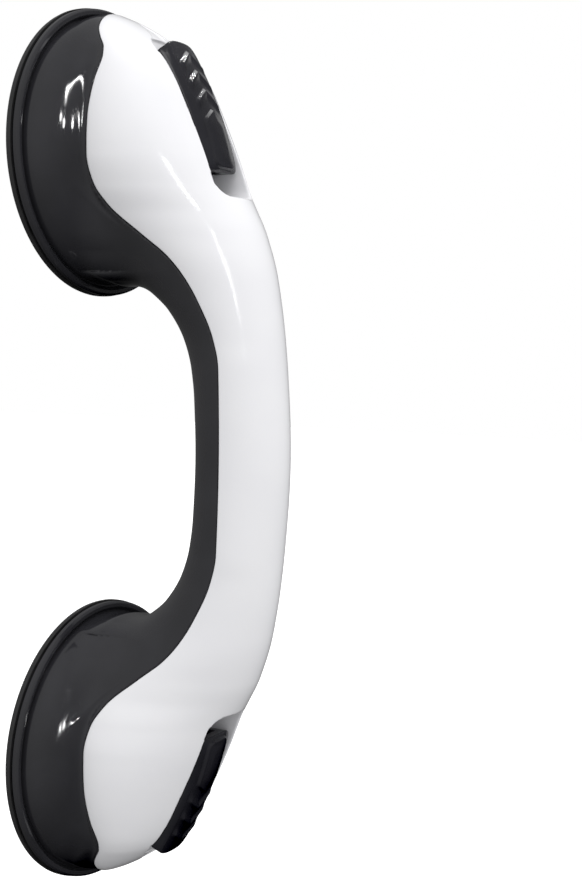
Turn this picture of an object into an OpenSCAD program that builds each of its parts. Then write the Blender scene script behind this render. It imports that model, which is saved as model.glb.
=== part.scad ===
// Suction grab bar: a bowed handle on two suction cups, each clamped to the wall by a cam lever.
// X runs across the bar, Z along it, and the wall is the plane Y = 0 with the bar on the -Y side.
// The origin lies on the wall, midway between the two cups.

/* [Bar] */
// Distance between the centres of the two cups
cup_spacing = 204; // [200:1:216]
// Distance from the wall to the front of the grip at its middle
standoff = 75.7; // [74:0.1:79]
// Width of the grip at its middle
grip_w = 30; // [28:0.5:34]
// Depth of the grip at its middle, square to the wall
grip_depth = 32; // [30:0.5:34]
// Wall thickness of the two shells
wall = 2.4; // [2:0.1:2.8]
// Dark gap along the seam between the cover and the lower shell
seam_gap = 0.2; // [0.1:0.05:0.3]

/* [Heads] */
// Width of the white cover over a cup
head_w = 60.4; // [57:0.2:62]
// Length of the cover from a cup's centre to its outer end
head_l = 46.5; // [45.5:0.1:47]
// Outer diameter of a cup's rim
rim_d = 97; // [96:0.5:99]
// Diameter of the round housing where it rises from its rim
dome_d = 89.6; // [88:0.2:90.4]
// Height of the housing's flat deck above the wall
deck_h = 17; // [16:0.1:17]

/* [Lever] */
// Width of a lever
lever_w = 20; // [18:0.5:21]
// Length of a lever from its pivot to its free end
lever_l = 36; // [35:0.1:36]
// Height of a pivot above the wall when its lever is locked down
pivot_h = 42; // [41.5:0.1:42.5]
// Distance that a lever draws the rubber up when it is locked
lift = 3.5; // [3:0.1:3.8]
// Angle that a lever opens through
open_angle = 90; // [80:1:90]
// Number of chevron ribs on a lever
rib_count = 4; // [3:1:5]

/* [Hidden] */

cover_white = [0.93, 0.93, 0.95];
shell_black = [0.09, 0.09, 0.10];
rubber_black = [0.04, 0.04, 0.045];
steel = [0.75, 0.76, 0.78];
carrier_grey = [0.35, 0.36, 0.38];

cup_z = cup_spacing / 2;
// How far one shape runs into another where they join or where one cuts the other
overlap = 2;
$fn = 64;

// Steps of the two long shells: along the arm, round each head, and across a section
arm_steps = 24;
head_steps = 9;
arc_steps = 14;
// The last section of a head stops just short of its pointed end
tip_angle = 86;

// Running gaps
slot_gap = 0.3;
cam_gap = 0.3;
pin_r = 2;
pin_gap = 0.05;
post_r = 5;
post_gap = 0.3;

// Rim and housing
lip_t = 2;
rim_r = rim_d / 2;
flange_r = rim_r - 0.3;
flange_bevel = 0.7;
dome_r = dome_d / 2;
groove_h = 3.6;
flange_h = 4.8;
flange_w = 2;
crown_r = 24;

// Turret that guides the post, with the spring inside it and the cam plate on it
turret_r = 13.5;
turret_bore_r = 11.2;
plate_t = 1;
seat_h = pivot_h - 12;
turret_h = seat_h - plate_t;
turret_roof = 2;

// Lever
cam_locked = pivot_h - seat_h;
cheek_in = 4.4;
cheek_out = lever_w / 2;
skin = 2.6;
heel_corner = 2;
arm_start = 11.6;
arm_end = 30;
eye_room_r = 5.3;
rib_first = 31.5;
rib_pitch = 6.3;
rib_l = 8;
rib_w = 1.3;
rib_h = 1.4;
rib_angle = 40;
lever_slope = 0.29;
lever_bow_r = 103;
lever_rise = 8.5;
tip_corner = 6;
tip_face_h = 33.2;
tip_foot = [33.2, 30.1];
undercut = [30, 28.8];
arm_heel = [turret_r + 0.5, 35];
eye_heel = [turret_r - 5.5, seat_h + 2.5];
slot_w = lever_w + 2 * slot_gap;
slot_heel = 16.5;
slot_corner = 5;
slot_end = lever_l + slot_gap;
liner = 1.5;
mouth_gap = 1.2;
floor_start_h = 33.5;
floor_end_h = 24.3;
boss_gap = 0.6;
relief_depth = 1.6;
relief_end = 42;
relief_start = 31;

// Screws, three to a cup, as places across and along the head
screw_r = 1.5;
screw_head_r = 3;
screw_head_h = 1.8;
screw_l = 12;
screw_gap = 0.2;
boss_r = 3.6;
screw_places = [[-20, 4], [20, 4], [0, -21]];

// ---- Curves that shape the bar, each a height or half-width against the distance past a cup's centre ----

crown_line = [
  [-cup_z, standoff], [-66, standoff - 2.4], [-44, standoff - 5.7], [-28, standoff - 10.6],
  [-14, 57.6], [0, 51.2], [13, 44.9], [22, 40.2], [30, 34.6], [37, 26.4], [43, 16.6], [head_l, 8.8],
];
seam_line = [
  [-cup_z, standoff - 16.3], [-72, standoff - 16.8], [-62, standoff - 18.9], [-50, 51.7], [-42, 47],
  [-36, 42], [-29, 33.4], [-20, 23.1], [-12, 18.7], [-4, 17.5], [8, 17.5], [20, 18.4], [27, 19.4],
  [31, 18.4], [35, 15.2], [39, 12], [43, 9.8], [head_l, 8],
];
keel_line = [
  [-cup_z, standoff - grip_depth], [-82, standoff - grip_depth - 0.8], [-72, standoff - grip_depth - 2.2],
  [-63, 38.6], [-53.5, 32.5], [-48, 26], [-44, 19], [-40.5, 11], [-34, 4], [-28, lip_t + 1],
  [head_l, lip_t + 1],
];
side_line = [
  [-cup_z, grip_w / 2], [-66, grip_w / 2 + 0.3], [-50, grip_w / 2 + 2], [-36, 20], [-23, 24.3],
  [-14, 28], [-4, head_w / 2 - 0.1], [0, head_w / 2],
];

// Index of the stretch of a curve that holds z
function stretch(line, z, i = 0) =
  (i >= len(line) - 2 || z < line[i + 1][0]) ? i : stretch(line, z, i + 1);
function rise(line, i) = (line[i + 1][1] - line[i][1]) / (line[i + 1][0] - line[i][0]);
// Slope at a point: level at the bar's middle, the harmonic mean of its two stretches elsewhere,
// so that a curve never swings past its own points
function slope_at(line, i) =
  i == 0 ? 0
  : i == len(line) - 1 ? rise(line, i - 1)
  : let (a = rise(line, i - 1), b = rise(line, i)) a * b <= 0 ? 0 : 2 * a * b / (a + b);
function on_curve(line, z) =
  let (
    i = stretch(line, z),
    h = line[i + 1][0] - line[i][0],
    u = (z - line[i][0]) / h,
    a = slope_at(line, i) * h,
    b = slope_at(line, i + 1) * h
  )
  line[i][1] * (2 * u ^ 3 - 3 * u ^ 2 + 1) + a * (u ^ 3 - 2 * u ^ 2 + u)
  + line[i + 1][1] * (3 * u ^ 2 - 2 * u ^ 3) + b * (u ^ 3 - u ^ 2);

function past_cup(z) = abs(z) - cup_z;
function crown(z) = on_curve(crown_line, past_cup(z));
function seam(z) = on_curve(seam_line, past_cup(z));
function keel(z) = on_curve(keel_line, past_cup(z));
function side(z) =
  let (p = past_cup(z)) p < 0 ? on_curve(side_line, p) : head_w / 2 * sqrt(1 - (p / head_l) ^ 2);

// Places of the sections, from the middle of the bar to the outer end of a head
half_places = concat(
  [for (i = [1:arm_steps]) cup_z * i / arm_steps],
  [for (i = [1:head_steps]) cup_z + head_l * sin(tip_angle * i / head_steps)]
);
places = concat([for (i = [len(half_places) - 1:-1:0]) -half_places[i]], [0], half_places);

// One section as an arch of half-width w from height foot to height top, whose feet reach on by a length
function arch(z, w, foot, top, feet) = concat(
  [for (i = [0:arc_steps]) let (a = 180 * i / arc_steps) [w * cos(a), -(foot + (top - foot) * sin(a)), z]],
  feet == 0 ? [] : [[-w, -(foot - feet), z], [w, -(foot - feet), z]]
);

// Solid skin over a row of rings that all have the same number of points
module loft(rings) {
  n = len(rings[0]);
  last = len(rings) - 1;
  points = [for (r = rings) each r];
  sides = [
    for (k = [0:last - 1], i = [0:n - 1])
      let (j = (i + 1) % n, a = k * n + i, b = k * n + j, c = a + n, d = b + n)
        each [[a, b, d], [a, d, c]]
  ];
  start = [for (i = [n - 1:-1:0]) i];
  end = [for (i = [0:n - 1]) last * n + i];
  polyhedron(points, concat(sides, [start, end]));
}

// A shell's inner size: one wall less, but never under a third of the outer size
function inner(size) = max(size - wall, size / 3);

// ---- Frames of the two heads: X across, Y towards the bar's outer end, Z away from the wall ----

module at_upper() {
  translate([0, 0, cup_z]) rotate([90, 0, 0]) children();
}

module at_lower() {
  mirror([0, 0, 1]) at_upper() children();
}

// A side view in (along the head, away from the wall), given thickness across the bar
module across(width) {
  rotate([90, 0, 90]) translate([0, 0, -width / 2]) linear_extrude(width) children();
}

// ---- White cover ----

// Side view of a lever's slot, open to the seat near the pivot and floored under the lever's arm
module slot_outline(grow, mouth_h) {
  polygon([
    [-slot_heel - grow, standoff],
    [-slot_heel - grow, mouth_h],
    [turret_r + grow, mouth_h],
    [turret_r + grow, floor_start_h - grow],
    [slot_end + grow, floor_end_h - grow],
    [slot_end + grow, standoff],
  ]);
}

// Plan of a lever or of its slot, with one radius at its heel's corners and another at its free end's
module plan(half_w, heel, heel_r, tip, tip_r) {
  translate([-half_w, heel_r - heel]) square([2 * half_w, tip - tip_r + heel - heel_r]);
  translate([heel_r - half_w, -heel]) square([2 * (half_w - heel_r), 2 * heel_r]);
  translate([tip_r - half_w, tip - 2 * tip_r]) square([2 * (half_w - tip_r), 2 * tip_r]);
  for (s = [-1, 1]) {
    translate([s * (half_w - heel_r), heel_r - heel]) circle(heel_r);
    translate([s * (half_w - tip_r), tip - tip_r]) circle(tip_r);
  }
}

module slot(grow, mouth_h) {
  intersection() {
    across(slot_w + 2 * grow) slot_outline(grow, mouth_h);
    linear_extrude(standoff)
      plan(slot_w / 2 + grow, slot_heel + grow, slot_corner, slot_end + grow, tip_corner + slot_gap + grow);
  }
}

// Shallow fingertip relief in the cover round a lever's free end, run out to a point
module fingertip_relief() {
  start_h = crown(cup_z + relief_start) - relief_depth;
  fall = start_h - crown(cup_z + relief_end);
  run = relief_end - relief_start;
  translate([0, relief_start, start_h]) rotate([-atan2(fall, run), 0, 0])
    linear_extrude(8) polygon([[-slot_w / 2, 0], [slot_w / 2, 0], [0, norm([fall, run])]]);
}

// What stays solid inside the cover: the slot's lining and the screw bosses
module head_features() {
  slot(liner, seat_h + mouth_gap);
  for (p = screw_places)
    translate([p[0], p[1], deck_h + boss_gap]) cylinder(r = boss_r, h = standoff);
}

module upper_cover() {
  color(cover_white)
    difference() {
      loft([for (z = places) arch(z, side(z), seam(z), crown(z), 0)]);
      difference() {
        loft([for (z = places)
          arch(z, inner(side(z)), seam(z), seam(z) + inner(crown(z) - seam(z)), overlap)]);
        at_upper() head_features();
        at_lower() head_features();
      }
      at_upper() head_cuts();
      at_lower() head_cuts();
    }
}

module head_cuts() {
  slot(0, seat_h - mouth_gap);
  fingertip_relief();
  for (p = screw_places)
    translate([p[0], p[1], 0]) cylinder(r = screw_r, h = deck_h + screw_l);
}

// ---- Black lower shell: the back of the grip and the two round housings in one moulding ----

// Quarter ellipse from the foot of the dome up to the edge of its deck
function dome_arc(foot_r, foot_h, top_h) =
  [for (i = [0:12]) let (a = 90 * i / 12)
    [crown_r + (foot_r - crown_r) * cos(a), foot_h + (top_h - foot_h) * sin(a)]];

module housing_solid() {
  rotate_extrude()
    polygon(concat(
      [[0, lip_t], [flange_r - flange_bevel, lip_t], [flange_r, lip_t + flange_bevel],
       [flange_r, flange_h - flange_bevel], [flange_r - flange_bevel, flange_h],
       [flange_r - flange_w, flange_h], [dome_r + 0.4, groove_h]],
      dome_arc(dome_r, groove_h, deck_h),
      [[turret_r, deck_h], [turret_r, turret_h], [0, turret_h]]
    ));
}

module housing_cavity() {
  rotate_extrude()
    polygon(concat(
      [[0, 0], [dome_r - wall, 0]],
      dome_arc(dome_r - wall, groove_h, deck_h - wall),
      [[turret_bore_r, deck_h - wall], [turret_bore_r, turret_h - turret_roof], [0, turret_h - turret_roof]]
    ));
  cylinder(r = post_r + post_gap, h = turret_h + overlap);
  for (p = screw_places)
    translate([p[0], p[1], 0]) cylinder(r = screw_r + screw_gap, h = deck_h + boss_gap);
}

// An arch turned over, so that its top points at the wall and its feet at the seam
function belly(z, w, foot, bottom, feet) =
  [for (p = arch(z, w, foot, bottom, -feet)) [-p[0], p[1], p[2]]];

module lower_shell() {
  color(shell_black)
    difference() {
      union() {
        difference() {
          loft([for (z = places) belly(z, side(z), seam(z) - seam_gap, keel(z), 0)]);
          loft([for (z = places)
            let (foot = seam(z) - seam_gap)
              belly(z, inner(side(z)), foot, foot - inner(foot - keel(z)), overlap)]);
        }
        at_upper() housing_solid();
        at_lower() housing_solid();
      }
      at_upper() housing_cavity();
      at_lower() housing_cavity();
    }
}

// ---- Lever ----

function lever_top(y) = pivot_h + lever_rise - lever_slope * y - y ^ 2 / (2 * lever_bow_r);

// The cam's face is an involute about the pivot: its reach shrinks evenly as the lever opens
cam_roll = lift / (open_angle * PI / 180);
function cam_reach(a) = cam_locked - cam_gap - lift * a / open_angle;
function cam_point(a) =
  [-cam_reach(a) * sin(a) + cam_roll * cos(a), pivot_h - cam_reach(a) * cos(a) - cam_roll * sin(a)];

// Side view of a lever: up its cam and heel, along its top, down its free end and back under its arm
module lever_side() {
  heel_y = cam_point(open_angle)[0];
  polygon(concat(
    [for (a = [0:open_angle / 9:open_angle]) cam_point(a)],
    [for (i = [0:10]) let (y = heel_y + (lever_l - heel_y) * i / 10) [y, lever_top(y)]],
    [[lever_l, tip_face_h], tip_foot, undercut, arm_heel, eye_heel]
  ));
}

module lever() {
  color(shell_black) {
    lever_body();
    lever_ribs();
  }
}

module lever_body() {
  difference() {
    intersection() {
      across(lever_w) lever_side();
      linear_extrude(standoff)
        plan(lever_w / 2, -cam_point(open_angle)[0], heel_corner, lever_l, tip_corner);
    }
    // Room between the cheeks for the post's eye, down and towards the heel, where the post swings to
    across(2 * cheek_in) {
      translate([0, pivot_h]) circle(eye_room_r);
      translate([-lever_l, 0]) square([lever_l + eye_room_r, pivot_h]);
      translate([-lever_l, 0]) square([lever_l, pivot_h + eye_room_r]);
    }
    // Hollow under the arm
    across(lever_w - 2 * skin)
      polygon([
        [arm_start, 0], [arm_start, lever_top(arm_start) - skin],
        [arm_end, lever_top(arm_end) - skin], [arm_end, 0],
      ]);
    translate([0, 0, pivot_h]) rotate([0, 90, 0])
      cylinder(r = pin_r + pin_gap, h = lever_w + 2, center = true);
    // Sunk ends for the clips
    for (s = [-1, 1])
      translate([s * cheek_out, 0, pivot_h]) rotate([0, 90, 0])
        cylinder(r = clip_r + 0.4, h = 2 * clip_sink, center = true);
  }
}

module lever_ribs() {
  for (i = [0:rib_count - 1])
    let (y = rib_first - rib_pitch * i)
      translate([0, y, lever_top(y) - rib_h / 2])
        rotate([-atan(lever_slope + y / lever_bow_r), 0, 0]) chevron();
}

// One raised rib that points at the lever's free end
module chevron() {
  for (s = [-1, 1])
    rotate(s * rib_angle) translate([s > 0 ? -rib_l : 0, -rib_w / 2, 0]) cube([rib_l, rib_w, rib_h]);
}

// ---- Pivot pin and its clips ----

pin_l = lever_w - 1;
clip_r = 3.9;
clip_t = 0.5;
clip_sink = (lever_w - pin_l) / 2 + clip_t + 0.3;

module pivot_pin() color(steel) {
  translate([0, 0, pivot_h]) rotate([0, 90, 0]) cylinder(r = pin_r, h = pin_l, center = true);
}

module pin_clips() color(steel) {
  for (s = [-1, 1])
    translate([s * (pin_l - clip_t) / 2, 0, pivot_h]) rotate([0, 90, 0])
      difference() {
        cylinder(r = clip_r, h = clip_t, center = true);
        cylinder(r = pin_r, h = 2 * clip_t, center = true);
      }
}

// ---- Steel plate that the cams press on ----

module cam_plate() color(steel) {
  translate([0, 0, turret_h])
    difference() {
      cylinder(r = turret_r - 0.2, h = plate_t);
      translate([0, 0, -1]) cylinder(r = post_r + post_gap, h = plate_t + 2);
    }
}

// ---- Carrier: a disc moulded into the rubber, with a post up to the pivot ----

disc_r = 16;
disc_h = 5.6;
disc_t = 2;
eye_r = 4.6;
eye_w = 2 * (cheek_in - 0.3);
flow_hole_at = 11.5;
flow_hole_r = 1.6;

module pad_carrier() color(carrier_grey) {
  difference() {
    union() {
      translate([0, 0, disc_h]) cylinder(r = disc_r, h = disc_t);
      translate([0, 0, disc_h]) cylinder(r = post_r, h = seat_h - disc_h);
      // The post's upper end, cut flat on both sides and rounded over the pivot
      intersection() {
        translate([0, 0, seat_h - overlap]) cylinder(r = post_r, h = pivot_h - seat_h + eye_r + overlap);
        across(eye_w) union() {
          translate([-post_r, 0]) square([2 * post_r, pivot_h]);
          translate([0, pivot_h]) circle(eye_r);
        }
      }
    }
    translate([0, 0, pivot_h]) rotate([0, 90, 0])
      cylinder(r = pin_r + pin_gap / 2, h = lever_w, center = true);
    // Holes that the rubber flows through
    for (a = [0:60:300]) rotate(a) translate([flow_hole_at, 0, 0]) cylinder(r = flow_hole_r, h = seat_h);
  }
}

// ---- Rubber pad, drawn up in the middle as it is when the lever is locked ----

pad_boss_h = 8.6;
pad_gap = 0.3;

module suction_pad() color(rubber_black) {
  difference() {
    rotate_extrude()
      polygon([
        [0, lift], [14, lift - 0.1], [26, 1.6], [36, 0], [rim_r - 0.5, 0], [rim_r, 0.6],
        [rim_r - 0.2, lip_t - 0.3], [rim_r - 1, lip_t - 0.1], [dome_r - wall - 0.6, lip_t - 0.1],
        [dome_r - wall - 1.4, 3.2], [31, 4.4], [23, 6.4], [20, pad_boss_h], [0, pad_boss_h],
      ]);
    translate([0, 0, disc_h - pad_gap]) cylinder(r = disc_r + pad_gap, h = disc_t + 2 * pad_gap);
    translate([0, 0, disc_h]) cylinder(r = post_r + pad_gap, h = pad_boss_h);
  }
}

// ---- Return spring and the washer under it ----

washer_h = pad_boss_h + 0.4;
washer_t = 0.8;
washer_r = 10.4;
wire_r = 0.7;
coil_r = 8.3;
coil_turns = 5.5;
coil_steps = 14;
wire_sides = 7;
coil_foot = washer_h + washer_t + wire_r + 0.1;
coil_head = turret_h - turret_roof - wire_r - 0.1;

module spring_washer() color(steel) {
  translate([0, 0, washer_h])
    difference() {
      cylinder(r = washer_r, h = washer_t);
      translate([0, 0, -1]) cylinder(r = post_r + 0.1, h = washer_t + 2);
    }
}

module return_spring() color(steel) {
  count = coil_turns * coil_steps;
  loft([
    for (k = [0:count])
      let (a = 360 * k / coil_steps, h = coil_foot + (coil_head - coil_foot) * k / count)
        [for (i = [0:wire_sides - 1]) let (b = -360 * i / wire_sides)
          [(coil_r + wire_r * cos(b)) * cos(a), (coil_r + wire_r * cos(b)) * sin(a), h + wire_r * sin(b)]]
  ]);
}

// ---- Screws that hold the cover down on the housings ----

module housing_screws() color(steel) {
  for (p = screw_places)
    translate([p[0], p[1], deck_h - wall - screw_head_h]) {
      cylinder(r = screw_head_r, h = screw_head_h);
      cylinder(r = screw_r, h = screw_l);
    }
}

upper_cover();
lower_shell();
at_upper() lever();  // lever_upper
at_lower() lever();  // lever_lower
at_upper() pivot_pin();  // pivot_pin_upper
at_lower() pivot_pin();  // pivot_pin_lower
at_upper() pin_clips();  // pin_clips_upper
at_lower() pin_clips();  // pin_clips_lower
at_upper() cam_plate();  // cam_plate_upper
at_lower() cam_plate();  // cam_plate_lower
at_upper() pad_carrier();  // pad_carrier_upper
at_lower() pad_carrier();  // pad_carrier_lower
at_upper() spring_washer();  // spring_washer_upper
at_lower() spring_washer();  // spring_washer_lower
at_upper() return_spring();  // return_spring_upper
at_lower() return_spring();  // return_spring_lower
at_upper() suction_pad();  // suction_pad_upper
at_lower() suction_pad();  // suction_pad_lower
at_upper() housing_screws();  // housing_screws_upper
at_lower() housing_screws();  // housing_screws_lower
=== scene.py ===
"""The looks of a suction grab bar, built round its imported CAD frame.

Shapes are worked out in millimetres in the frame's own axes: x runs across the bar, z along it, and the
wall is the plane y = 0 with the bar on the -y side. Two words are used throughout: the height of a point
is its distance from the wall, and its reach is how far along the bar it lies past the centre of the
nearer cup, so that one formula serves both heads. Each moulding is the zero surface of a signed field.
"""

import itertools
import math

import bpy
import numpy as np
from mathutils import Matrix, Vector


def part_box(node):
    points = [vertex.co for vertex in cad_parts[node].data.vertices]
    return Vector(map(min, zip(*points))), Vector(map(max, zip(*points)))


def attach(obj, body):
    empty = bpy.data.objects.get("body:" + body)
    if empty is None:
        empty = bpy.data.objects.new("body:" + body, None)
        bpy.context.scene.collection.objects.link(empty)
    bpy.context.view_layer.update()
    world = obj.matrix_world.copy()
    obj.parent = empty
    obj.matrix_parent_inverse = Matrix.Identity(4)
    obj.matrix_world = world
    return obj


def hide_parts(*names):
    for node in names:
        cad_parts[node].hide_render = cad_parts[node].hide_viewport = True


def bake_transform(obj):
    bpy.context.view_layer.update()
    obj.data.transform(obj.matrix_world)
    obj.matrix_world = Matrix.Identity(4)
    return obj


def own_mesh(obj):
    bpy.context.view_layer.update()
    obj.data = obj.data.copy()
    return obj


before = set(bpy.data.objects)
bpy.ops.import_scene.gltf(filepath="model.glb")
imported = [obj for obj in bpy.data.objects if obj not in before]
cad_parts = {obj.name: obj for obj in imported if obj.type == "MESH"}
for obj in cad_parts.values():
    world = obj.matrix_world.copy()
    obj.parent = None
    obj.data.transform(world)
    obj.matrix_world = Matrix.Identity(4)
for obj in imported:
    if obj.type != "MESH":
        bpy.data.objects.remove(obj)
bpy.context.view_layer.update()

MM = 0.001


def size_of(node):
    """Lowest and highest corner of a CAD node, in millimetres."""
    low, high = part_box(node)
    return np.array(low) / MM, np.array(high) / MM


# ---- Dimensions read from the frame ----

cover_low, cover_high = size_of("upper_cover")
pin_low, pin_high = size_of("pivot_pin_upper")
plate_low = size_of("cam_plate_upper")[0]
lever_low, lever_high = size_of("lever_upper")
pad_low, pad_high = size_of("suction_pad_upper")

CUP_Z = (pin_low[2] + pin_high[2]) / 2
PIVOT_H = -(pin_low[1] + pin_high[1]) / 2
SEAT_H = -plate_low[1]
STANDOFF = -cover_low[1]
HEAD_W = cover_high[0] - cover_low[0]
LEVER_W = lever_high[0] - lever_low[0]
LEVER_L = 36.0
RIM_R = pad_high[0]

# ---- Dimensions of the visual shapes: _R is a radius, _T a thickness and _H a height above the wall ----

HEAD_L = 46.5
WALL = 2.4
SEAM_GAP = 0.2
EDGE_R = 0.45
TONGUE_GAP = 0.3
TONGUE_T = 1.0
TONGUE_W = 3.0
LIP_T = 2.0
CROWN_R = 24.0
DOME_R = 44.8
DECK_H = 17.0
GROOVE_H = 3.6
FLANGE_H = 4.8
TURRET_R = 13.5
TURRET_BORE_R = 11.2
POST_HOLE_R = 5.3

# A lever's top: its height over the pivot, its slope there and the radius of its bow
LEVER_RISE = 8.5
LEVER_SLOPE = 0.29
LEVER_BOW_R = 103

# ---- Curves of the bar: height or half-width against reach ----


def on_curve(points):
    """A smooth function through a few points. It is level at the first one, and its slope at each inner
    point is the harmonic mean of the slopes on its two sides, so it never swings past its points."""
    at, value = np.array(points, float).T
    rise = np.diff(value) / np.diff(at)
    before, after = rise[:-1], rise[1:]
    turning = before * after <= 0
    mean = 2 * before * after / np.where(turning, 1, before + after)
    slope = np.concatenate([[0], np.where(turning, 0, mean), rise[-1:]])

    def evaluate(reach):
        """The curve's value at a reach."""
        reach = np.clip(reach, at[0], at[-1])
        i = np.clip(np.searchsorted(at, reach, side="right") - 1, 0, len(at) - 2)
        step = at[i + 1] - at[i]
        u = (reach - at[i]) / step
        start = value[i] * (2 * u**3 - 3 * u**2 + 1) + slope[i] * step * (u**3 - 2 * u**2 + u)
        end = value[i + 1] * (3 * u**2 - 2 * u**3) + slope[i + 1] * step * (u**3 - u**2)
        return start + end

    return evaluate


crown = on_curve([
    (-CUP_Z, STANDOFF), (-66, STANDOFF - 2.4), (-44, STANDOFF - 5.7), (-28, STANDOFF - 10.6),
    (-14, 57.6), (0, 51.2), (13, 44.9), (22, 40.2), (30, 34.6), (37, 26.4), (43, 16.6), (HEAD_L, 8.8),
])
seam = on_curve([
    (-CUP_Z, STANDOFF - 16.3), (-72, STANDOFF - 16.8), (-62, STANDOFF - 18.9), (-50, 51.7), (-42, 47),
    (-36, 42), (-29, 33.4), (-20, 23.1), (-12, 18.7), (-4, 17.5), (8, 17.5), (20, 18.4), (27, 19.4),
    (31, 18.4), (35, 15.2), (39, 12), (43, 9.8), (HEAD_L, 8),
])
keel = on_curve([
    (-CUP_Z, STANDOFF - 32), (-82, STANDOFF - 32.8), (-72, STANDOFF - 34.2), (-63, 38.6), (-53.5, 32.5),
    (-48, 26), (-44, 19), (-40.5, 11), (-34, 4), (-28, 3), (HEAD_L, 3),
])
arm_side = on_curve([
    (-CUP_Z, 15), (-66, 15.3), (-50, 17), (-36, 20), (-23, 24.3), (-14, 28), (-4, HEAD_W / 2 - 0.1),
    (0, HEAD_W / 2),
])


def side(reach):
    """Half-width of the bar."""
    end = 1 - np.clip(reach / HEAD_L, 0, 0.9998) ** 2
    return np.where(reach < 0, arm_side(reach), HEAD_W / 2 * np.sqrt(end))


def lever_top(reach):
    """Height of a closed lever's top along its middle."""
    return PIVOT_H + LEVER_RISE - LEVER_SLOPE * reach - reach**2 / (2 * LEVER_BOW_R)


# ---- Fields: negative inside, and close to a distance in millimetres near the surface ----


def smooth_max(a, b, radius):
    """What lies inside both fields, with the edge between them rounded."""
    return np.maximum(a, b) + np.maximum(radius - np.abs(a - b), 0) ** 2 / (4 * radius)


def smooth_min(a, b, radius):
    """What lies inside either field, with the corner between them filled."""
    return -smooth_max(-a, -b, radius)


def ease(value, start, end):
    """0 before start, 1 after end, and smooth between them."""
    u = np.clip((value - start) / (end - start), 0, 1)
    return u * u * (3 - 2 * u)


def slope_of(line, reach):
    """How fast a curve rises along the bar."""
    return (line(reach + 0.1) - line(reach - 0.1)) / 0.2


def above(line, reach, height):
    """Distance above a curve."""
    return (height - line(reach)) / np.sqrt(1 + slope_of(line, reach) ** 2)


def ellipse(x, height, half_w, half_h, slope=0.0):
    """Distance to an ellipse about (0, 0), whose top rises at a slope along the bar."""
    u, v = x / half_w, height / half_h
    size = np.sqrt(u**2 + v**2) + 1e-4
    steep = np.sqrt((u / half_w) ** 2 + (v / half_h) ** 2) + 1e-4 / np.minimum(half_w, half_h)
    return (size - 1) * size / steep / np.sqrt(1 + (slope * v / size) ** 2)


def outline(x, y, points):
    """Signed distance to a closed polygon."""
    distance = np.full(np.broadcast(x, y).shape, np.inf)
    odd = np.zeros(distance.shape, bool)
    for (ax, ay), (bx, by) in zip(points, points[1:] + points[:1]):
        ex, ey = bx - ax, by - ay
        wx, wy = x - ax, y - ay
        along = np.clip((wx * ex + wy * ey) / (ex**2 + ey**2), 0, 1)
        distance = np.minimum(distance, (wx - ex * along) ** 2 + (wy - ey * along) ** 2)
        crosses = (ay <= y) != (by <= y)
        odd ^= crosses & (wx < ex * wy / (ey if ey else 1))
    return np.where(odd, -1, 1) * np.sqrt(distance)


# ---- A lever's slot in the cover ----

# Its plan
SLOT_GAP = 0.3
SLOT_HALF = LEVER_W / 2 + SLOT_GAP
SLOT_HEEL = 16.5
SLOT_CORNER = 5.0
SLOT_END = LEVER_L + SLOT_GAP
TIP_CORNER = 6.0

# Its floor, as (reach, height) at both ends, its mouth over the cam plate, and its lining
FLOOR_START = (13.5, 33.5)
FLOOR_END = (SLOT_END, 24.3)
MOUTH_GAP = 1.2
LINER = 1.5

# The finger scoop past the lever's free end
RELIEF_START = LEVER_L - 5
RELIEF_TIP = 42.5
RELIEF_DEPTH = 1.8
SLOT_EDGE_R = 0.9


def plan(x, reach, half_w, heel, heel_r, tip, tip_r):
    """Plan of a lever or of its slot: a box with one radius at the heel's corners, another at the tip's."""
    corner = np.where(reach > 0, tip_r, heel_r)
    u = np.abs(x) - half_w + corner
    v = np.where(reach > 0, reach - tip, -heel - reach) + corner
    return np.sqrt(np.maximum(u, 0) ** 2 + np.maximum(v, 0) ** 2) + np.minimum(np.maximum(u, v), 0) - corner


def slot(x, height, reach, grow=0.0, mouth_h=SEAT_H - MOUTH_GAP):
    """The slot, grown by a margin: floored under the lever's arm, and open at its pivot."""
    fall = (FLOOR_END[1] - FLOOR_START[1]) / (FLOOR_END[0] - FLOOR_START[0])
    floor_h = FLOOR_START[1] + fall * (reach - FLOOR_START[0])
    mouth = np.maximum(reach - FLOOR_START[0] - grow, mouth_h - height)
    bottom = smooth_min(floor_h - grow - height, mouth, 0.6)
    walls = plan(x, reach, SLOT_HALF, SLOT_HEEL, SLOT_CORNER, SLOT_END, TIP_CORNER + SLOT_GAP) - grow
    return smooth_max(walls, bottom, 1.2)


def relief(x, reach, skin_distance):
    """Shallow triangular scoop round a lever's free end, which runs out to a point."""
    length = RELIEF_TIP - RELIEF_START
    left = (RELIEF_TIP - reach) / length
    sides = (np.abs(x) - SLOT_HALF * left) / math.hypot(1, SLOT_HALF / length)
    sides = np.maximum(sides, RELIEF_START - reach)
    return smooth_max(sides, -(skin_distance + RELIEF_DEPTH * np.clip(left, 0, 1)), 0.8)


# ---- The bar's two mouldings ----


def cover_field(x, y, z):
    """The white cover."""
    height, reach = -y, np.abs(z) - CUP_Z
    foot = seam(reach)
    outer = ellipse(x, height - foot, side(reach), crown(reach) - foot, slope_of(crown, reach))
    outer = smooth_max(outer, reach - HEAD_L, 0.5)
    body = smooth_max(outer, -above(seam, reach, height), EDGE_R)
    liner = slot(x, height, reach, LINER, SEAT_H + MOUTH_GAP)
    body = np.maximum(body, -np.maximum(outer + WALL, -liner))
    body = smooth_max(body, -relief(x, reach, outer), SLOT_EDGE_R)
    return smooth_max(body, -slot(x, height, reach), SLOT_EDGE_R)


def cover_place(u, v, z):
    """From a grid over sections of unit size to the frame: every section has the same grid lines."""
    reach = np.abs(z) - CUP_Z
    foot = seam(reach)
    return u * side(reach), v * (crown(reach) - foot) - foot, z


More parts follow.
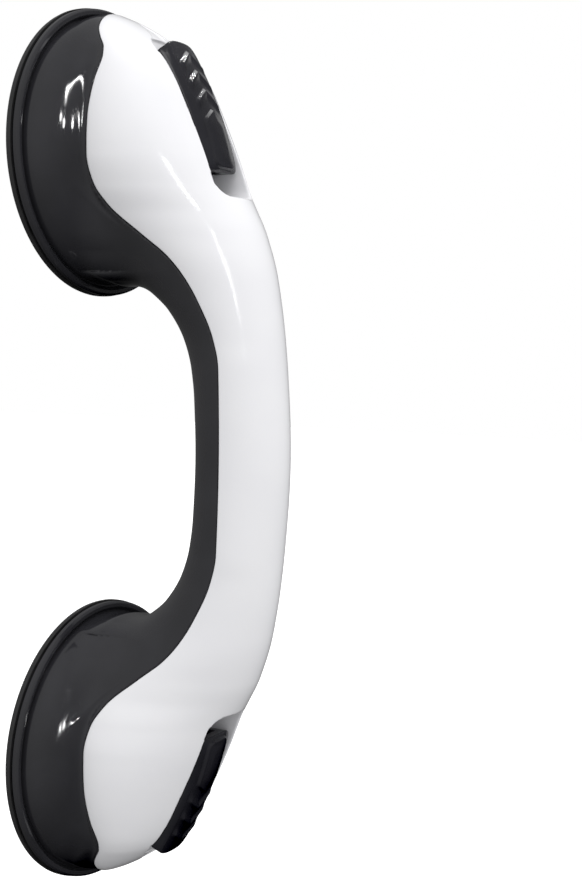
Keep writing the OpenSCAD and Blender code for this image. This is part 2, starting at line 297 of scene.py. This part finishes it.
def shell_field(x, y, z):
    """The black lower shell: the back of the grip run smoothly into two domes."""
    height, reach = -y, np.abs(z) - CUP_Z
    radius = np.sqrt(x**2 + reach**2)
    out = np.maximum(radius - CROWN_R, 0)
    up = np.maximum(height - GROOVE_H, 0)
    dome = ellipse(out, up, DOME_R - CROWN_R, DECK_H - GROOVE_H)
    foot = seam(reach)
    belly = ellipse(x, np.maximum(foot - height, 0), side(reach), foot - keel(reach), slope_of(keel, reach))
    belly = smooth_max(belly, reach - HEAD_L, 0.5)
    # The fillet between dome and grip is small at the seam and widest at the neck, clear of the rim
    neck = ease(-reach, 16, 34) * ease(height, 4, 14)
    fillet = 1.2 + ease(foot - height, 0, 5) * (6 + 9 * neck)
    outer = smooth_min(dome, belly, fillet)
    body = smooth_max(outer, above(seam, reach, height) + SEAM_GAP, EDGE_R)
    body = np.maximum(body, -(outer + WALL))
    # A tongue inside the cover's wall closes the seam from within
    inner = ellipse(x, height - foot, side(reach), crown(reach) - foot) + WALL + TONGUE_GAP
    tongue = np.maximum(inner, -inner - TONGUE_T)
    tongue = np.maximum(tongue, np.abs(above(seam, reach, height)) - TONGUE_W / 2)
    body = np.minimum(body, tongue)
    return np.maximum(body, LIP_T + 0.5 - height)


# ---- A lever ----

CAM_GAP = 0.3
LIFT = 3.5
CHEEK_IN = 4.4
SKIN = 2.6
ARM_START = 11.6
ARM_END = 30.0
PIN_HOLE_R = 2.05
CLIP_HOLE_R = 4.3
CLIP_SINK = 1.3
EYE_ROOM_R = 5.3
HEEL_CORNER = 4.0

# The top's own outline, inside the plan: its half-width, insets and corners, and how far it crowns
TOP_HALF = 8.0
TOP_HEEL_INSET = 1.2
TOP_HEEL_CORNER = 5.0
TOP_TIP_INSET = 0.4
TOP_TIP_CORNER = 4.0
TOP_CROWN = 1.2

# Three ribs, counted back from the free end, and the thumb pad behind them
RIB_COUNT = 3
RIB_FIRST = 31.5
RIB_PITCH = 6.3
RIB_H = 0.8
THUMB_HALF = 5.6
THUMB_END = -6.8


def cam_point(turn):
    """A point of the cam's involute, as (reach, height), for a turn of the lever in radians."""
    roll = LIFT / (math.pi / 2)
    length = PIVOT_H - SEAT_H - CAM_GAP - roll * turn
    return (
        -length * math.sin(turn) + roll * math.cos(turn),
        PIVOT_H - length * math.cos(turn) - roll * math.sin(turn),
    )


def lever_side_points():
    """The lever's side view: its cam, its heel, clear above its top, and back under its arm."""
    heel = cam_point(math.pi / 2)[0]
    cam = [cam_point(t) for t in np.linspace(0, math.pi / 2, 10)]
    over = [(heel, lever_top(heel) + 3), (LEVER_L, lever_top(LEVER_L) + 6)]
    under = [(LEVER_L, 33.4), (33.5, 32.6), (29.5, 29), (14, 35), (8, 32.5)]
    return cam + over + under


def top_detail(x, reach):
    """Height of the moulded pattern on a lever's top: a long thumb pad behind three pointed ribs."""
    across = np.abs(x)

    def past_rib(i):
        """Distance past the crest of a rib, which sweeps back from its point on both sides."""
        crest = RIB_FIRST - RIB_PITCH * i - (0.6 * across + 0.02 * across**2)
        return (reach - crest) * 0.85

    # Past each rib's crest its flank falls steeply; before it, gently. The pad ends in a point like a rib.
    detail = 0.0
    for i in range(RIB_COUNT):
        past = past_rib(i)
        width = np.where(past > 0, 0.5, 1.7)
        detail = detail + RIB_H * np.exp(-((past / width) ** 2))
    detail = detail * ease(-across, -7.4, -5.5)
    pad = smooth_max(smooth_max(across - THUMB_HALF, past_rib(RIB_COUNT), 1), THUMB_END - reach, 3)
    return detail + 0.85 * ease(-pad, -0.35, 0.45) + 0.35 * ease(-pad, 0.4, 4)


SIDE_POINTS = lever_side_points()
HEEL = -cam_point(math.pi / 2)[0]


def lever_field(x, y, z):
    """A closed lever of the upper head."""
    height, reach = -y, z - CUP_Z
    across = np.abs(x)
    edge = plan(x, reach, LEVER_W / 2, HEEL, HEEL_CORNER, LEVER_L, TIP_CORNER)
    body = smooth_max(outline(reach, height, SIDE_POINTS), edge, 0.4)
    slope = LEVER_SLOPE + reach / LEVER_BOW_R
    rise = height - lever_top(reach)
    fall = TOP_CROWN * (across / TOP_HALF) ** 2
    top = (rise - top_detail(x, reach) + fall + 0.5) / np.sqrt(1 + slope**2)
    # The side leans in from the plan outline to the top's outline, from further down near the free end
    drop = 1.2 + 0.0018 * (reach + 8) ** 2
    heel, tip = HEEL - TOP_HEEL_INSET, LEVER_L - TOP_TIP_INSET
    top_edge = plan(x, reach, TOP_HALF, heel, TOP_HEEL_CORNER, tip, TOP_TIP_CORNER)
    share = np.clip((-1 - rise) / drop, 0, 1)
    bevel = (share * edge + (1 - share) * top_edge) / np.sqrt(1 + ((top_edge - edge) / drop) ** 2)
    body = smooth_max(body, smooth_max(top, bevel, 0.7), 0.6)
    # Room between the cheeks for the post's eye, down and towards the heel, and the hollow under the arm
    from_pin = np.sqrt(reach**2 + (height - PIVOT_H) ** 2)
    below = np.maximum(reach - EYE_ROOM_R, height - PIVOT_H)
    behind = np.maximum(reach, height - PIVOT_H - EYE_ROOM_R)
    eye = np.minimum(np.minimum(below, behind), from_pin - EYE_ROOM_R)
    eye = np.maximum(eye, across - CHEEK_IN)
    along_arm = np.abs(reach - (ARM_START + ARM_END) / 2) - (ARM_END - ARM_START) / 2
    hollow = np.maximum(np.maximum(across - LEVER_W / 2 + SKIN, along_arm), rise + SKIN)
    # The pin's hole, with a sunk round for its clip at each end
    sunk = np.maximum(from_pin - CLIP_HOLE_R, LEVER_W / 2 - CLIP_SINK - across)
    hole = np.minimum(from_pin - PIN_HOLE_R, sunk)
    return smooth_max(body, -np.minimum(np.minimum(eye, hollow), hole), 0.3)


# ---- Meshing ----

CORNERS = np.array(list(itertools.product((0, 1), repeat=3)))
EDGES = [
    (a, b) for a, b in itertools.combinations(range(8), 2) if np.abs(CORNERS[a] - CORNERS[b]).sum() == 1
]


def surface_nets(value):
    """One point in each grid cell that the zero surface crosses, in grid steps, and a quad round each
    grid edge that it crosses."""
    inside = value < 0
    shape = value.shape
    total = 0
    for corner in CORNERS:
        window = tuple(slice(c, c + n - 1) for c, n in zip(corner, shape))
        total = total + inside[window].astype(np.int8)
    cells = np.argwhere((total > 0) & (total < 8))
    index = np.full(total.shape, -1)
    index[tuple(cells.T)] = np.arange(len(cells))
    values = [value[tuple((cells + corner).T)] for corner in CORNERS]
    points = np.zeros((len(cells), 3))
    hits = np.zeros(len(cells))
    for a, b in EDGES:
        hit = (values[a] < 0) != (values[b] < 0)
        share = np.where(hit, values[a] / np.where(hit, values[a] - values[b], 1), 0)
        points += hit[:, None] * (CORNERS[a] + share[:, None] * (CORNERS[b] - CORNERS[a]))
        hits += hit
    points = cells + points / hits[:, None]
    quads = []
    for axis in range(3):
        u, v = np.eye(3, dtype=int)[[(axis + 1) % 3, (axis + 2) % 3]]
        here = np.take(inside, range(shape[axis] - 1), axis)
        crossed = np.argwhere(here != np.take(inside, range(1, shape[axis]), axis))
        kept = [(crossed[:, k] > 0) & (crossed[:, k] < shape[k] - 1) for k in range(3) if k != axis]
        crossed = crossed[kept[0] & kept[1]]
        ring = (crossed - u - v, crossed - v, crossed, crossed - u)
        quad = np.stack([index[tuple(cell.T)] for cell in ring], 1)
        inward = ~here[tuple(crossed.T)]
        quad[inward] = quad[inward][:, ::-1]
        quads.append(quad)
    return points, np.concatenate(quads)


def gradient(field, points):
    """The field's value and slope at points."""
    nudge = 0.02
    slope = np.zeros(points.shape)
    for k in range(3):
        step = np.zeros(3)
        step[k] = nudge
        slope[:, k] = (field(*(points + step).T) - field(*(points - step).T)) / (2 * nudge)
    return field(*points.T), slope


def settle(field, points, reach, rounds=3):
    """Points moved on to the zero surface, no further than reach at a time, and their normals."""
    for _ in range(rounds):
        value, slope = gradient(field, points)
        step = -value[:, None] * slope / np.maximum((slope**2).sum(1), 0.05)[:, None]
        length = np.linalg.norm(step, axis=1)[:, None]
        points = points + step * np.minimum(1, reach / np.maximum(length, 1e-9))
    slope = gradient(field, points)[1]
    return points, slope / np.maximum(np.linalg.norm(slope, axis=1), 1e-9)[:, None]


def relaxed(points, quads):
    """Each point drawn halfway to the mean of its neighbours."""
    total = np.zeros(points.shape)
    count = np.zeros(len(points))
    for a, b in zip(range(4), (1, 2, 3, 0)):
        for start, end in ((a, b), (b, a)):
            np.add.at(total, quads[:, start], points[quads[:, end]])
            np.add.at(count, quads[:, start], 1)
    return (points + total / np.maximum(count, 1)[:, None]) / 2


def skin(field, low, high, pitch, place=lambda x, y, z: (x, y, z)):
    """Points, quads and normals of a field's zero surface. place() carries the grid to the frame."""
    axes = [np.linspace(a, b, max(2, round((b - a) / s) + 1)) for a, b, s in zip(low, high, pitch)]
    value = field(*place(*np.ix_(*axes)))
    steps, quads = surface_nets(value)
    scale = [(axis[-1] - axis[0]) / (len(axis) - 1) for axis in axes]
    grid = np.array(low) + steps * scale
    points = np.stack(place(*grid.T), 1)
    reach = 0.5 * max(pitch)
    points, _ = settle(field, points, reach, 2)
    points, normals = settle(field, relaxed(points, quads), reach)
    return points, quads, normals


def put(name, points, faces, body, material, slot_name, replaced, normals=None):
    """A mesh in millimetres as a smooth piece that rides on a body and stands for CAD nodes."""
    mesh = bpy.data.meshes.new(name)
    mesh.from_pydata((np.asarray(points) * MM).tolist(), [], np.asarray(faces).tolist())
    mesh.polygons.foreach_set("use_smooth", [True] * len(mesh.polygons))
    if normals is not None:
        mesh.normals_split_custom_set_from_vertices(normals.tolist())
    mesh.materials.append(material)
    piece = bpy.data.objects.new(name, mesh)
    bpy.context.scene.collection.objects.link(piece)
    if body:
        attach(piece, body)
    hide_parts(*replaced)
    return piece


def mirrored(points, faces, normals=None):
    """The same mesh at the other end of the bar."""
    flip = np.array([1, 1, -1])
    return points * flip, faces[:, ::-1], None if normals is None else normals * flip


def lathe(profile, around=224):
    """A closed profile of (radius, height) turned about the upper cup's axis."""
    turns = np.linspace(0, 2 * math.pi, around, endpoint=False)
    radius, height = np.array(profile, float).T
    x = np.cos(turns)[:, None] * radius
    z = CUP_Z + np.sin(turns)[:, None] * radius
    points = np.stack([x, np.broadcast_to(-height, x.shape), z], -1).reshape(-1, 3)
    count = len(profile)
    i, k = np.meshgrid(np.arange(around), np.arange(count), indexing="ij")
    i2, k2 = (i + 1) % around, (k + 1) % count
    faces = np.stack([i * count + k, i * count + k2, i2 * count + k2, i2 * count + k], -1)
    return points, faces.reshape(-1, 4)


def joined(*parts):
    """Several meshes as one."""
    offset, all_points, all_faces = 0, [], []
    for points, faces in parts:
        all_points.append(points)
        all_faces.append(faces + offset)
        offset += len(points)
    return np.concatenate(all_points), np.concatenate(all_faces)


def crisp(piece, width, segments=2):
    """Small rounds on the piece's sharp edges."""
    piece.data.set_sharp_from_angle(angle=math.radians(30))
    bevel = piece.modifiers.new("edges", "BEVEL")
    bevel.width = width * MM
    bevel.segments = segments
    bevel.limit_method = "ANGLE"
    bevel.angle_limit = math.radians(30)
    bevel.harden_normals = True


# ---- Materials ----


def material(name, colour, second, rough, patch=60, grain=900, bump=0.02, stretch=(1, 1, 1), **shader):
    """A moulded or metal surface: two close tones in soft patches, roughness that wanders between two
    values, and a fine grain in the surface. Other values go straight to the shader."""
    made = bpy.data.materials.new(name)
    made.use_nodes = True
    made.diffuse_color = (*colour, 1)
    nodes, links = made.node_tree.nodes, made.node_tree.links
    surface = nodes["Principled BSDF"]
    for key, value in shader.items():
        surface.inputs[key.replace("_", " ")].default_value = value
    coordinates = nodes.new("ShaderNodeTexCoord")
    mapping = nodes.new("ShaderNodeMapping")
    mapping.inputs["Scale"].default_value = stretch
    links.new(coordinates.outputs["Object"], mapping.inputs["Vector"])

    def noise(scale, detail):
        """The strength of a noise texture."""
        node = nodes.new("ShaderNodeTexNoise")
        node.inputs["Scale"].default_value = scale
        node.inputs["Detail"].default_value = detail
        links.new(mapping.outputs["Vector"], node.inputs["Vector"])
        return node.outputs["Fac"]

    tone = nodes.new("ShaderNodeValToRGB")
    tone.color_ramp.elements[0].position = 0.35
    tone.color_ramp.elements[1].position = 0.65
    tone.color_ramp.elements[0].color = (*colour, 1)
    tone.color_ramp.elements[1].color = (*second, 1)
    links.new(noise(patch, 3), tone.inputs["Fac"])
    links.new(tone.outputs["Color"], surface.inputs["Base Color"])
    spread = nodes.new("ShaderNodeMapRange")
    spread.inputs["From Min"].default_value = 0.3
    spread.inputs["From Max"].default_value = 0.7
    spread.inputs["To Min"].default_value = rough[0]
    spread.inputs["To Max"].default_value = rough[1]
    links.new(noise(patch * 2.5, 6), spread.inputs["Value"])
    links.new(spread.outputs["Result"], surface.inputs["Roughness"])
    relief_node = nodes.new("ShaderNodeBump")
    relief_node.inputs["Strength"].default_value = bump
    relief_node.inputs["Distance"].default_value = 0.0003
    links.new(noise(grain, 2), relief_node.inputs["Height"])
    links.new(relief_node.outputs["Normal"], surface.inputs["Normal"])
    return made


WHITE = material(
    "gloss_white", (0.84, 0.84, 0.865), (0.86, 0.86, 0.88), (0.1, 0.17),
    patch=40, grain=500, bump=0.03,
)
BLACK = material(
    "gloss_black", (0.019, 0.019, 0.022), (0.024, 0.024, 0.028), (0.06, 0.12),
    patch=50, grain=420, bump=0.03,
)
LEVER_BLACK = material(
    "lever_black", (0.014, 0.014, 0.018), (0.018, 0.018, 0.023), (0.16, 0.24),
    patch=90, grain=1600, bump=0.06, Specular_IOR_Level=0.3,
)
RUBBER = material(
    "rubber", (0.012, 0.012, 0.012), (0.02, 0.02, 0.021), (0.4, 0.55),
    patch=120, grain=2200, bump=0.15,
)
NYLON = material(
    "nylon", (0.1, 0.105, 0.115), (0.13, 0.135, 0.145), (0.38, 0.5),
    patch=150, grain=1800, bump=0.1,
)
STEEL = material(
    "steel", (0.55, 0.56, 0.58), (0.66, 0.67, 0.69), (0.22, 0.38),
    patch=160, grain=1200, bump=0.1, stretch=(0.2, 1, 3), Metallic=1.0,
)

# ---- Mouldings ----

# The cover's grid covers sections of unit size, with a margin round them
cover_end = CUP_Z + HEAD_L + 1
points, quads, normals = skin(
    cover_field, (-1.06, -1.06, -cover_end), (1.06, 0.1, cover_end), (0.022, 0.022, 0.7), cover_place
)
cover = put("white_cover", points, quads, "bar", WHITE, "cover_white", ["upper_cover"], normals)

shell_side, shell_end = DOME_R + 1, CUP_Z + DOME_R + 3
shell_low = (-shell_side, -STANDOFF + 10, -shell_end)
shell_high = (shell_side, -1.5, shell_end)
points, quads, normals = skin(shell_field, shell_low, shell_high, (0.75, 0.75, 0.75))
shell = put("lower_shell_skin", points, quads, "bar", BLACK, "shell_black", ["lower_shell"], normals)

FLANGE_R = RIM_R - 0.3
FLANGE_BEVEL = 0.7
FLANGE_W = 2
TURRET_H = SEAT_H - 1
TURRET_ROOF = 2
rim = lathe([
    (DOME_R - WALL, LIP_T), (FLANGE_R - FLANGE_BEVEL, LIP_T), (FLANGE_R, LIP_T + FLANGE_BEVEL),
    (FLANGE_R, FLANGE_H - FLANGE_BEVEL), (FLANGE_R - FLANGE_BEVEL, FLANGE_H),
    (FLANGE_R - FLANGE_W, FLANGE_H), (DOME_R + 0.3, GROOVE_H), (DOME_R - WALL, GROOVE_H),
])
turret = lathe([
    (POST_HOLE_R, TURRET_H), (POST_HOLE_R, TURRET_H - TURRET_ROOF), (TURRET_BORE_R, TURRET_H - TURRET_ROOF),
    (TURRET_BORE_R, DECK_H - WALL), (CROWN_R, DECK_H - WALL), (CROWN_R, DECK_H), (TURRET_R, DECK_H),
    (TURRET_R, TURRET_H),
])
upper = joined(rim, turret)
lower = mirrored(*upper)[:2]
rims = put("lower_shell_rims", *joined(upper, lower), "bar", BLACK, "shell_black", ["lower_shell"])
crisp(rims, 0.25)

lever_side = LEVER_W / 2 + 0.6
grid_low = (-lever_side, -56, CUP_Z - 13)
grid_high = (lever_side, -25, CUP_Z + LEVER_L + 0.6)
arm = skin(lever_field, grid_low, grid_high, (0.32, 0.32, 0.32))
levers = {}
for head, (points, quads, normals) in (("upper", arm), ("lower", mirrored(*arm))):
    node = f"lever_{head}"
    levers[head] = put(f"{node}_moulding", points, quads, node, LEVER_BLACK, "lever_black", [node], normals)

# ---- Suction pads: a lip gripped under the rim, and a membrane that the carrier draws up ----

PAD_SPLIT_R = 43.0
BOSS_H = -pad_low[1]
SEAL_FIRST_R = 39.0
SEAL_PITCH = 2.5
SEAL_DEPTH = 0.35
pad_under = on_curve([(0, LIFT), (14, LIFT - 0.1), (26, 1.6), (36, 0), (RIM_R, 0)])
pad_over = on_curve([
    (0, BOSS_H), (19.5, BOSS_H), (20.5, BOSS_H - 0.6), (24, 6.2), (31, 4.5), (40, 3.1), (42, 1.9),
    (RIM_R, 1.9),
])


def pad_profile(start, end):
    """Section of the pad between two radii. Its underside has fine sealing grooves near the lip."""
    out = np.linspace(start, end, 2 + round((end - start) / 0.25))
    # The grooves keep to the band between the membrane's rise and the lip's edge
    groove = np.maximum(np.cos((out - SEAL_FIRST_R) * math.tau / SEAL_PITCH), 0) ** 4
    groove = groove * ease(out, 37, 38) * ease(-out, -47.5, -46)
    under = list(zip(out, pad_under(out) + SEAL_DEPTH * groove))
    over = list(zip(out, pad_over(out)))
    # Round the lip's outer edge, and leave the post its hole
    if end > RIM_R - 1:
        return [p for p in under + [(RIM_R, 0.8)] + over[::-1] if p != (RIM_R, 0.0)]
    return under + [(max(r, POST_HOLE_R), h) for r, h in over[::-1]]


# The membranes stand for the pads' nodes, so the lips replace none
lip = lathe(pad_profile(PAD_SPLIT_R, RIM_R))
lips = put("pad_lips", *joined(lip, mirrored(*lip)[:2]), "bar", RUBBER, "rubber_black", [])
lips.data.set_sharp_from_angle(angle=math.radians(40))
membrane = lathe(pad_profile(0.05, PAD_SPLIT_R))
for head, mesh, end_z in (("upper", membrane, CUP_Z), ("lower", mirrored(*membrane)[:2], -CUP_Z)):
    pad = put(f"pad_membrane_{head}", *mesh, "bar", RUBBER, "rubber_black", [f"suction_pad_{head}"])
    pad.data.set_sharp_from_angle(angle=math.radians(40))
    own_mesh(pad)

# ---- Return springs: a fixed coil of wire round each cup's axis; the real ones stretch as the carrier leaves the turret ----

WIRE_R = 0.7
COIL_TURNS = 5.5
spring_low, spring_high = size_of("return_spring_upper")


def coil(steps=330, sides=14):
    """A wire wound round the upper cup's axis."""
    share = np.linspace(0, 1, steps)
    turn = share * COIL_TURNS * math.tau
    coil_r = spring_high[0] - WIRE_R
    foot, head = -spring_high[1] + WIRE_R, -spring_low[1] - WIRE_R
    # The end coils lie flat, and the ones between climb
    climb = foot + (head - foot) * ease(share, 0.02, 0.98)
    round_wire = np.linspace(0, math.tau, sides, endpoint=False)
    radius = coil_r + WIRE_R * np.cos(round_wire)[None, :]
    height = climb[:, None] + WIRE_R * np.sin(round_wire)[None, :]
    x, z = np.cos(turn)[:, None] * radius, CUP_Z + np.sin(turn)[:, None] * radius
    points = np.stack([x, -height, z], -1).reshape(-1, 3)
    i, k = np.meshgrid(np.arange(steps - 1), np.arange(sides), indexing="ij")
    k2 = (k + 1) % sides
    here, there = i * sides, (i + 1) * sides
    faces = np.stack([here + k, here + k2, there + k2, there + k], -1)
    return points, faces.reshape(-1, 4)


wire = coil()
for head, mesh, end_z in (("upper", wire, CUP_Z), ("lower", mirrored(*wire)[:2], -CUP_Z)):
    spring = put(f"spring_coil_{head}", *mesh, None, STEEL, "spring_steel", [f"return_spring_{head}"])
    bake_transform(spring)

# ---- CAD nodes that stay ----

KEPT = {
    "pivot_pin": STEEL,
    "pin_clips": STEEL,
    "cam_plate": STEEL,
    "spring_washer": STEEL,
    "housing_screws": STEEL,
    "pad_carrier": NYLON,
}
for stem, finish in KEPT.items():
    for head in ("upper", "lower"):
        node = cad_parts[f"{stem}_{head}"]
        node.data.materials.clear()
        node.data.materials.append(finish)

# ---- Floor, light and camera ----

# Brightness of the studio at its mean, and how it changes along x, y and z
LIT = (0.76, (-0.04, -0.24, 0.56))
REFLECTED = (0.27, (-0.22, 0.0, 0.24))


def paint_world(tree):
    """A studio that is lighter above than below, and lighter in front of the wall than beside it. It is
    dimmer in reflections, and the camera itself sees it as plain white."""
    nodes, links = tree.nodes, tree.links
    direction = nodes.new("ShaderNodeTexCoord")
    ray = nodes.new("ShaderNodeLightPath")

    def shaded(level, tilt):
        """A brightness that changes evenly along a direction."""
        along = nodes.new("ShaderNodeVectorMath")
        along.operation = "DOT_PRODUCT"
        along.inputs[1].default_value = tilt
        links.new(direction.outputs["Generated"], along.inputs[0])
        total = nodes.new("ShaderNodeMath")
        total.operation = "ADD"
        total.inputs[1].default_value = level
        links.new(along.outputs["Value"], total.inputs[0])
        background = nodes.new("ShaderNodeBackground")
        background.inputs["Color"].default_value = (1, 1, 1, 1)
        links.new(total.outputs["Value"], background.inputs["Strength"])
        return background.outputs["Background"]

    def chosen(ray_kind, otherwise, when):
        """One background, or another for one kind of ray."""
        mix = nodes.new("ShaderNodeMixShader")
        links.new(ray.outputs[ray_kind], mix.inputs["Fac"])
        links.new(otherwise, mix.inputs[1])
        links.new(when, mix.inputs[2])
        return mix.outputs["Shader"]

    studio = chosen("Is Glossy Ray", shaded(*LIT), shaded(*REFLECTED))
    seen = chosen("Is Camera Ray", studio, nodes["Background"].outputs["Background"])
    nodes["Background"].inputs["Color"].default_value = (1, 1, 1, 1)
    links.new(seen, nodes["World Output"].inputs["Surface"])


FLOOR_Z = -0.45
FLOOR_HALF = 6
floor_mesh = bpy.data.meshes.new("floor")
floor_corners = [(x * FLOOR_HALF, y * FLOOR_HALF, FLOOR_Z) for x, y in ((-1, -1), (1, -1), (1, 1), (-1, 1))]
floor_mesh.from_pydata(floor_corners, [], [(0, 1, 2, 3)])
floor_paint = bpy.data.materials.new("pale_floor")
floor_paint.use_nodes = True
floor_surface = floor_paint.node_tree.nodes["Principled BSDF"]
floor_surface.inputs["Base Color"].default_value = (0.93, 0.93, 0.93, 1)
floor_surface.inputs["Roughness"].default_value = 0.9
floor_surface.inputs["Emission Color"].default_value = (1, 1, 1, 1)
floor_surface.inputs["Emission Strength"].default_value = 0.35
floor_mesh.materials.append(floor_paint)
floor = bpy.data.objects.new("floor", floor_mesh)
bpy.context.scene.collection.objects.link(floor)
floor.visible_diffuse = False
floor.visible_glossy = False

world = bpy.data.worlds.new("studio")
world.use_nodes = True
paint_world(world.node_tree)
bpy.context.scene.world = world
bpy.context.scene.view_settings.view_transform = "Standard"

# The camera looks at the frame's origin from this far, then moves aside and up without turning
AZIMUTH, ELEVATION, ROLL = (math.radians(a) for a in (-61.09, 4.37, 0.94))
DISTANCE = 0.485
LENS = 56.64
ASIDE, UP = 0.068, 0.0036
back = Vector((
    math.sin(AZIMUTH) * math.cos(ELEVATION), -math.cos(AZIMUTH) * math.cos(ELEVATION), math.sin(ELEVATION)
))
level_right = Vector((math.cos(AZIMUTH), math.sin(AZIMUTH), 0))
level_up = back.cross(level_right)
right = math.cos(ROLL) * level_right + math.sin(ROLL) * level_up
up = math.cos(ROLL) * level_up - math.sin(ROLL) * level_right
camera_data = bpy.data.cameras.new("camera")
camera_data.lens = LENS
camera = bpy.data.objects.new("camera", camera_data)
turned = Matrix((right, up, back)).transposed().to_4x4()
camera.matrix_world = Matrix.Translation(back * DISTANCE + right * ASIDE + up * UP) @ turned
bpy.context.scene.collection.objects.link(camera)
bpy.context.scene.camera = camera


def area_light(name, place, target, size, power, spread=180.0):
    """A soft rectangular lamp at place that faces target, and lights no wider than spread, in degrees."""
    data = bpy.data.lights.new(name, "AREA")
    data.shape = "RECTANGLE"
    data.size, data.size_y = size
    data.energy = power
    data.spread = math.radians(spread)
    lamp = bpy.data.objects.new(name, data)
    facing = (Vector(target) - Vector(place)).to_track_quat("-Z", "Y")
    lamp.matrix_world = Matrix.Translation(place) @ facing.to_matrix().to_4x4()
    bpy.context.scene.collection.objects.link(lamp)
    return lamp


def glint(name, place, target, size, radiance, spread, piece):
    """A lamp that shows only in reflections, and only in one piece."""
    power = radiance * math.pi * size[0] * size[1] * math.sin(math.radians(spread) / 2) ** 2
    lamp = area_light(name, place, target, size, power, spread)
    lamp.visible_diffuse = False
    lamp.visible_camera = False
    shown = bpy.data.collections.new(f"{name}_shows_in")
    shown.objects.link(piece)
    lamp.light_linking.receiver_collection = shown


key = area_light("key", (-0.4, -0.45, 0.85), (0, -0.03, 0), (0.6, 0.6), 2.0)
key.visible_glossy = False

# Window panes before each housing, as (x, lowest z, highest z), which mirror as streaks in its gloss
PANES = {
    1: [(-0.05, 0.33, 0.45), (-0.12, 0.255, 0.29), (-0.065, 0.22, 0.255), (0.07, 0.21, 0.245)],
    -1: [(-0.06, 0.08, 0.27), (-0.14, -0.07, -0.035), (-0.085, -0.07, -0.035), (0.06, -0.1, -0.065)],
}
PANE_Y = -0.5
PANE_W = 0.018
for end, panes in PANES.items():
    for i, (x, low_z, high_z) in enumerate(panes):
        place = (x, PANE_Y, (low_z + high_z) / 2)
        dome = (-0.033, -0.014, end * 0.1)
        glint(f"pane_{end}_{i}", place, dome, (PANE_W, high_z - low_z), 30, 16, shell)

# A window beside the bar, which mirrors as a streak down the white cover
glint("side_window", (-0.6, -0.55, 0.29), (-0.02, -0.05, 0.07), (0.05, 0.24), 5, 60, cover)

# Over the upper lever: a soft sky for its ribs, a bright spot on the first one, and a soft light for its
# side and for its thumb pad
lever_middle = (0, -0.04, 0.12)
lever_left = (-0.01, -0.04, 0.12)
first_rib = (-0.0043, -0.0382, 0.1307)
thumb_pad = (0.003, -0.049, 0.108)
glint("skylight", (0.3, -0.02, 0.65), lever_middle, (0.3, 0.3), 1.4, 60, levers["upper"])
glint("first_rib_light", (0.045, -0.045, 0.24), first_rib, (0.01, 0.01), 500, 4, levers["upper"])
glint("side_light", (-0.45, -0.03, 0.45), lever_left, (0.3, 0.3), 2, 90, levers["upper"])
glint("thumb_light", (0.375, -0.05, 0.24), thumb_pad, (0.12, 0.16), 0.3, 90, levers["upper"])
